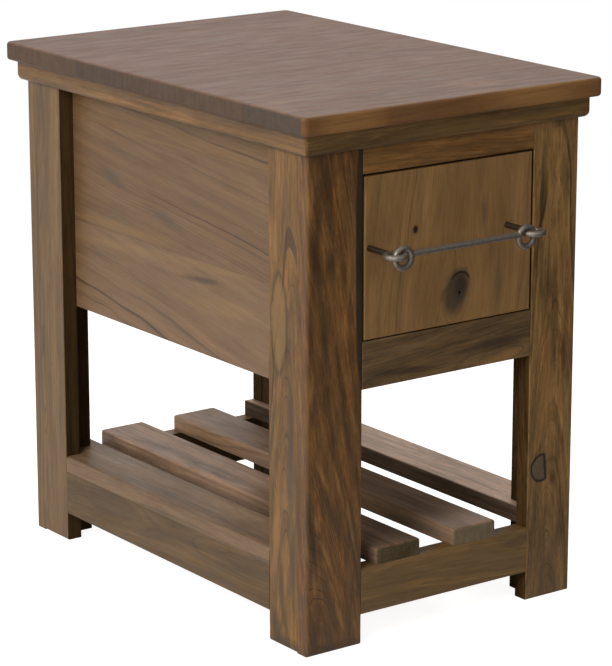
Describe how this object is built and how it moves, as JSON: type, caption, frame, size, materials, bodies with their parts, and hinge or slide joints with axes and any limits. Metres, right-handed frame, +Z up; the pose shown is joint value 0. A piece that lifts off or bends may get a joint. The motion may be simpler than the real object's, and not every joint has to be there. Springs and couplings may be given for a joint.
{
  "type": "chairside table",
  "caption": "Narrow chairside table: plank top, built-up square legs, flush drawer with a ring-hung bar pull, open space below and a slatted shelf near the floor.",
  "frame": {"origin": "on the floor, under the middle of the whole table with its pull", "axes": "+X across the table to the right of someone facing the drawer, +Y from the drawer front to the back, +Z up"},
  "size_m": [0.418, 0.649, 0.61],
  "materials": {
    "top_wood": "waxed walnut-brown boards, satin, worn paler on top",
    "moulding_wood": "brown stained wood, satin",
    "leg_wood": "brown stained wood, satin",
    "case_wood": "brown stained wood, satin",
    "shelf_wood": "brown stained wood, worn greyish, satin",
    "drawer_front_wood": "brown stained wood with knots, satin",
    "inner_wood": "plain sanded wood, no finish",
    "dowel_wood": "plain hardwood pins",
    "forged_iron": "hand-forged iron, dark, with worn hammer marks",
    "screw_steel": "plain steel wood screws",
    "nail_steel": "plain steel wire nails"
  },
  "bodies": {
    "frame": {"apron_back": "shelf_wood", "apron_front": "shelf_wood", "apron_left": "shelf_wood", "back_panel_lower": "case_wood", "back_panel_upper": "case_wood", "drawer_guide_left": "inner_wood", "drawer_guide_right": "inner_wood", "drawer_kicker": "inner_wood", "drawer_rest_blocks": "inner_wood", "drawer_runner_left": "inner_wood", "drawer_runner_right": "inner_wood", "drawer_stop": "inner_wood", "edge_slat_left": "shelf_wood", "edge_slat_right": "shelf_wood", "frame_dowels": "dowel_wood", "front_bottom_rail": "case_wood", "front_top_rail": "case_wood", "leg_back_left_block": "leg_wood", "leg_back_left_face": "leg_wood", "leg_back_left_side": "leg_wood", "leg_back_right_block": "leg_wood", "leg_back_right_face": "leg_wood", "leg_back_right_side": "leg_wood", "leg_front_left_block": "leg_wood", "leg_front_left_face": "leg_wood", "leg_front_left_side": "leg_wood", "leg_front_right_block": "leg_wood", "leg_front_right_face": "leg_wood", "leg_front_right_side": "leg_wood", "shelf_slat_left": "shelf_wood", "shelf_slat_right": "shelf_wood", "side_panel_left_lower": "case_wood", "side_panel_left_middle": "case_wood", "side_panel_left_upper": "case_wood", "side_panel_right_lower": "case_wood", "side_panel_right_middle": "case_wood", "side_panel_right_upper": "case_wood", "slat_dowels": "dowel_wood", "subtop_back": "moulding_wood", "subtop_front": "moulding_wood", "subtop_left": "moulding_wood", "subtop_right": "moulding_wood", "top_board_1": "top_wood", "top_board_2": "top_wood", "top_board_3": "top_wood", "top_board_4": "top_wood", "top_board_5": "top_wood", "top_screws": "screw_steel"},
    "drawer": {"drawer_back": "inner_wood", "drawer_bottom": "inner_wood", "drawer_front": "drawer_front_wood", "drawer_nails": "nail_steel", "drawer_side_left": "inner_wood", "drawer_side_right": "inner_wood", "pull_eye_left": "forged_iron", "pull_eye_right": "forged_iron"},
    "pull": {"pull_bar": "forged_iron"}
  },
  "joints": [
    {"name": "drawer_slide", "type": "slide", "parent": "frame", "child": "drawer", "axis": [0, -1, 0], "range_m": [0, 0.3]},
    {"name": "pull_swing", "type": "hinge", "parent": "drawer", "child": "pull", "pos_m": [-0.0105, -0.3105, 0.46027], "axis": [1, 0, 0], "range_deg": [-16, 16]}
  ]
}
